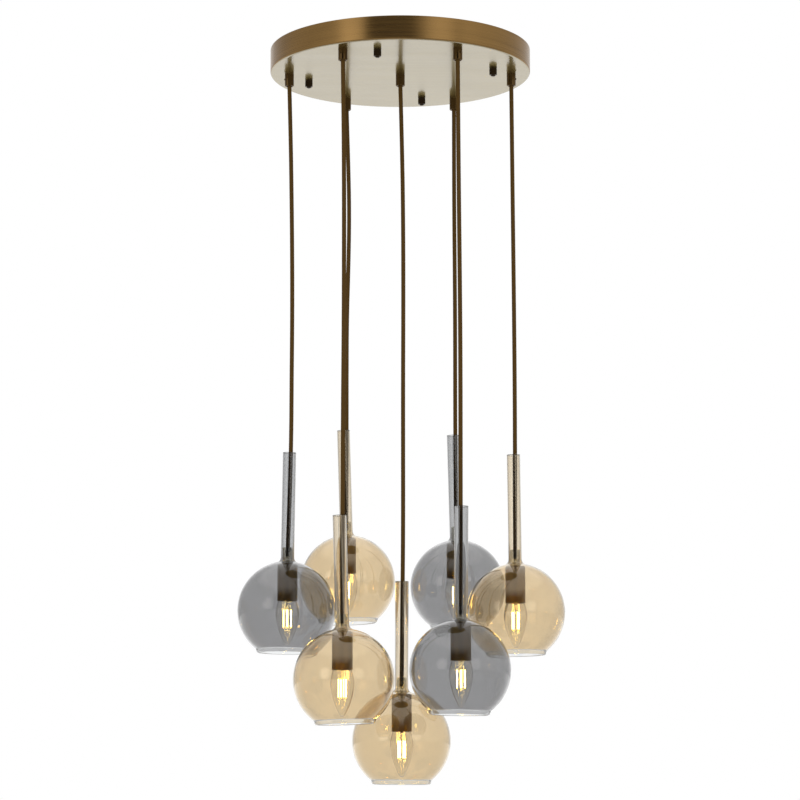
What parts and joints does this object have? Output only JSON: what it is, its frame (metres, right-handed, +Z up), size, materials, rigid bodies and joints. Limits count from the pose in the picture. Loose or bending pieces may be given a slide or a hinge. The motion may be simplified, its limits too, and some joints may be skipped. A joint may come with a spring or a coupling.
{
  "type": "cluster pendant light",
  "caption": "Ceiling pendant light: blown glass globes with long tube necks in smoke grey and amber, hung on textile cords at stepped heights from a round brushed bronze plate.",
  "frame": {"origin": "centre of the ceiling bracket's flat face, on the ceiling", "axes": "+Z up, square to the ceiling; +X to the right and -Y towards the viewer in the picture's view"},
  "size_m": [0.491, 0.4431, 1.1212],
  "materials": {
    "plate_bronze": "brushed antique brass, satin lacquer",
    "dark_bronze": "dark oil-rubbed bronze, satin",
    "holder_bronze": "satin antique bronze",
    "zinc_steel": "zinc-plated steel, dull",
    "plain_brass": "plain machined brass",
    "textile_cord": "golden brown braided textile",
    "core_insulation": "wire insulation",
    "terminal_plastic": "white moulded plastic",
    "socket_plastic": "black heat-resistant plastic",
    "smoke_glass": "smoke grey clear glass, polished",
    "amber_glass": "pale amber clear glass, polished",
    "clear_plastic": "clear moulded plastic, glossy",
    "clear_bulb_glass": "thin clear glass, polished",
    "lamp_cap": "nickel-plated screw cap",
    "lamp_filament": "glowing warm white filament stick"
  },
  "bodies": {
    "fitting": {"canopy_cover": "plate_bronze", "ceiling_bracket": "zinc_steel", "bracket_studs": "zinc_steel", "cap_nuts": "dark_bronze", "cord_grips": "dark_bronze", "grip_screws": "dark_bronze", "grip_locknuts": "plain_brass", "cord_tails": "textile_cord", "terminal_block": "terminal_plastic", "earth_screw": "plain_brass", "core_wires": "core_insulation"},
    "pendant_left": {"cord_left": "textile_cord", "cord_clamp_left": "clear_plastic", "holder_cup_left": "holder_bronze", "lamp_socket_left": "socket_plastic"},
    "glass_left": {"shade_left": "smoke_glass"},
    "bulb_left": {"bulb_glass_left": "clear_bulb_glass", "bulb_base_left": "lamp_cap"},
    "pendant_right": {"cord_right": "textile_cord", "cord_clamp_right": "clear_plastic", "holder_cup_right": "holder_bronze", "lamp_socket_right": "socket_plastic"},
    "glass_right": {"shade_right": "amber_glass"},
    "bulb_right": {"bulb_glass_right": "clear_bulb_glass", "bulb_base_right": "lamp_cap"},
    "pendant_front_left": {"cord_front_left": "textile_cord", "cord_clamp_front_left": "clear_plastic", "holder_cup_front_left": "holder_bronze", "lamp_socket_front_left": "socket_plastic"},
    "glass_front_left": {"shade_front_left": "amber_glass"},
    "bulb_front_left": {"bulb_glass_front_left": "clear_bulb_glass", "bulb_base_front_left": "lamp_cap"},
    "pendant_front_right": {"cord_front_right": "textile_cord", "cord_clamp_front_right": "clear_plastic", "holder_cup_front_right": "holder_bronze", "lamp_socket_front_right": "socket_plastic"},
    "glass_front_right": {"shade_front_right": "smoke_glass"},
    "bulb_front_right": {"bulb_glass_front_right": "clear_bulb_glass", "bulb_base_front_right": "lamp_cap"},
    "pendant_back_left": {"cord_back_left": "textile_cord", "cord_clamp_back_left": "clear_plastic", "holder_cup_back_left": "holder_bronze", "lamp_socket_back_left": "socket_plastic"},
    "glass_back_left": {"shade_back_left": "amber_glass"},
    "bulb_back_left": {"bulb_glass_back_left": "clear_bulb_glass", "bulb_base_back_left": "lamp_cap"},
    "pendant_back_right": {"cord_back_right": "textile_cord", "cord_clamp_back_right": "clear_plastic", "holder_cup_back_right": "holder_bronze", "lamp_socket_back_right": "socket_plastic"},
    "glass_back_right": {"shade_back_right": "smoke_glass"},
    "bulb_back_right": {"bulb_glass_back_right": "clear_bulb_glass", "bulb_base_back_right": "lamp_cap"},
    "pendant_centre": {"cord_centre": "textile_cord", "cord_clamp_centre": "clear_plastic", "holder_cup_centre": "holder_bronze", "lamp_socket_centre": "socket_plastic"},
    "glass_centre": {"shade_centre": "amber_glass"},
    "bulb_centre": {"bulb_glass_centre": "clear_bulb_glass", "bulb_base_centre": "lamp_cap"}
  },
  "joints": [
    {"name": "swing_left", "type": "hinge", "parent": "fitting", "child": "pendant_left", "pos_m": [-0.171, 0, -0.051], "axis": [0, 1, 0], "range_deg": [-1, 15]},
    {"name": "shade_lift_left", "type": "slide", "parent": "pendant_left", "child": "glass_left", "axis": [0, 0, 1], "range_m": [0, 0.15]},
    {"name": "bulb_turn_left", "type": "hinge", "parent": "pendant_left", "child": "bulb_left", "pos_m": [-0.171, 0, -0.862], "axis": [0, 0, -1], "range_deg": [0, 1800]},
    {"name": "swing_right", "type": "hinge", "parent": "fitting", "child": "pendant_right", "pos_m": [0.171, 0, -0.051], "axis": [0, -1, 0], "range_deg": [-1, 15]},
    {"name": "shade_lift_right", "type": "slide", "parent": "pendant_right", "child": "glass_right", "axis": [0, 0, 1], "range_m": [0, 0.15]},
    {"name": "bulb_turn_right", "type": "hinge", "parent": "pendant_right", "child": "bulb_right", "pos_m": [0.171, 0, -0.866], "axis": [0, 0, -1], "range_deg": [0, 1800]},
    {"name": "swing_front_left", "type": "hinge", "parent": "fitting", "child": "pendant_front_left", "pos_m": [-0.0855, -0.14809, -0.051], "axis": [-0.866, 0.5, 0], "range_deg": [-1, 15]},
    {"name": "shade_lift_front_left", "type": "slide", "parent": "pendant_front_left", "child": "glass_front_left", "axis": [0, 0, 1], "range_m": [0, 0.15]},
    {"name": "bulb_turn_front_left", "type": "hinge", "parent": "pendant_front_left", "child": "bulb_front_left", "pos_m": [-0.0855, -0.14809, -0.973], "axis": [0, 0, -1], "range_deg": [0, 1800]},
    {"name": "swing_front_right", "type": "hinge", "parent": "fitting", "child": "pendant_front_right", "pos_m": [0.0855, -0.14809, -0.051], "axis": [-0.866, -0.5, 0], "range_deg": [-1, 15]},
    {"name": "shade_lift_front_right", "type": "slide", "parent": "pendant_front_right", "child": "glass_front_right", "axis": [0, 0, 1], "range_m": [0, 0.15]},
    {"name": "bulb_turn_front_right", "type": "hinge", "parent": "pendant_front_right", "child": "bulb_front_right", "pos_m": [0.0855, -0.14809, -0.96], "axis": [0, 0, -1], "range_deg": [0, 1800]},
    {"name": "swing_back_left", "type": "hinge", "parent": "fitting", "child": "pendant_back_left", "pos_m": [-0.0855, 0.14809, -0.051], "axis": [0.866, 0.5, 0], "range_deg": [-1, 15]},
    {"name": "shade_lift_back_left", "type": "slide", "parent": "pendant_back_left", "child": "glass_back_left", "axis": [0, 0, 1], "range_m": [0, 0.15]},
    {"name": "bulb_turn_back_left", "type": "hinge", "parent": "pendant_back_left", "child": "bulb_back_left", "pos_m": [-0.0855, 0.14809, -0.808], "axis": [0, 0, -1], "range_deg": [0, 1800]},
    {"name": "swing_back_right", "type": "hinge", "parent": "fitting", "child": "pendant_back_right", "pos_m": [0.0855, 0.14809, -0.051], "axis": [0.866, -0.5, 0], "range_deg": [-1, 15]},
    {"name": "shade_lift_back_right", "type": "slide", "parent": "pendant_back_right", "child": "glass_back_right", "axis": [0, 0, 1], "range_m": [0, 0.15]},
    {"name": "bulb_turn_back_right", "type": "hinge", "parent": "pendant_back_right", "child": "bulb_back_right", "pos_m": [0.0855, 0.14809, -0.816], "axis": [0, 0, -1], "range_deg": [0, 1800]},
    {"name": "swing_centre", "type": "hinge", "parent": "fitting", "child": "pendant_centre", "pos_m": [0, 0, -0.051], "axis": [0, -1, 0], "range_deg": [-4, 4]},
    {"name": "shade_lift_centre", "type": "slide", "parent": "pendant_centre", "child": "glass_centre", "axis": [0, 0, 1], "range_m": [0, 0.15]},
    {"name": "bulb_turn_centre", "type": "hinge", "parent": "pendant_centre", "child": "bulb_centre", "pos_m": [0, 0, -1.057], "axis": [0, 0, -1], "range_deg": [0, 1800]}
  ]
}
